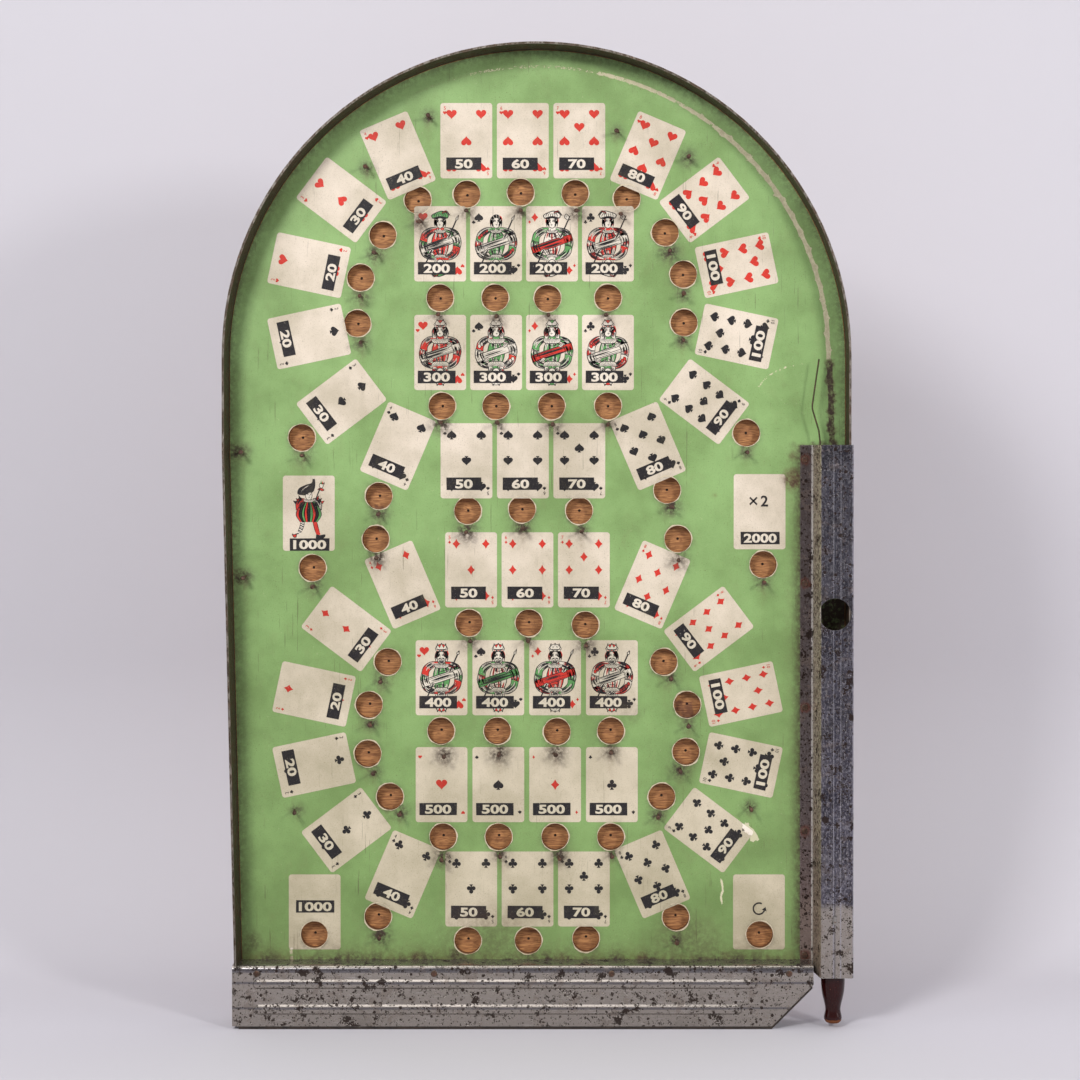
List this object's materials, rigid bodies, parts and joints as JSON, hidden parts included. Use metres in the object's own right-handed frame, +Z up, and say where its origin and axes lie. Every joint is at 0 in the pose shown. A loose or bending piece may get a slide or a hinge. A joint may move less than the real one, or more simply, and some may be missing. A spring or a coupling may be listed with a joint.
{
  "type": "tabletop bagatelle board",
  "caption": "Upright arch-topped bagatelle board with drilled ball pockets, deflecting nails, a steel rim, a nickel sill and a spring shooter with a covered lane.",
  "frame": {"origin": "middle of the board's lower edge, where it rests; half of its thickness in from the face", "axes": "+Z up the board, +X to the player's right, the playing face looks along -Y"},
  "size_m": [0.4634, 0.077, 0.7257],
  "materials": {
    "plywood": "worn, oiled birch plywood",
    "printed_sheet": "varnished printed paper, grimy",
    "rusted_steel": "dark patina with rust chips",
    "nail_steel": "dull, rust-stained",
    "dark_wood": "stained nearly black",
    "nickel_plate": "pitted nickel plating",
    "bare_steel": "oiled",
    "spring_wire": "tarnished",
    "pine": "bare, darkened pine",
    "lacquered_wood": "glossy dark red-brown lacquer, worn at the end"
  },
  "bodies": {
    "board_frame": {"board": "plywood", "playfield_sheet": "printed_sheet", "rim_band": "rusted_steel", "rim_nails": "nail_steel", "pocket_nails": "nail_steel", "deflector_nails": "nail_steel", "sill_block": "dark_wood", "sill_facing": "nickel_plate", "sill_nails": "nail_steel", "shooter_cover": "nickel_plate", "cover_nails": "nail_steel", "lower_guide": "bare_steel", "upper_guide": "bare_steel", "guide_nails": "nail_steel", "top_batten": "pine", "bottom_batten": "pine", "batten_screws": "bare_steel", "plunger_spring": "spring_wire"},
    "plunger": {"plunger_rod": "bare_steel", "spring_collar": "bare_steel", "collar_pin": "bare_steel", "striker_tip": "lacquered_wood", "handle": "lacquered_wood", "handle_pin": "bare_steel"},
    "gate": {"gate_wire": "spring_wire"}
  },
  "joints": [
    {"name": "plunger_pull", "type": "slide", "parent": "board_frame", "child": "plunger", "axis": [0, 0, -1], "range_m": [0, 0.038], "stiffness_N_per_m": 200, "springref_m": -0.01, "deforming": ["plunger_spring"]},
    {"name": "gate_swing", "type": "hinge", "parent": "board_frame", "child": "gate", "pos_m": [0.2094, -0.005, 0.42], "axis": [0, 1, 0], "range_deg": [-8, 12], "stiffness_Nm_per_rad": 0.9}
  ]
}
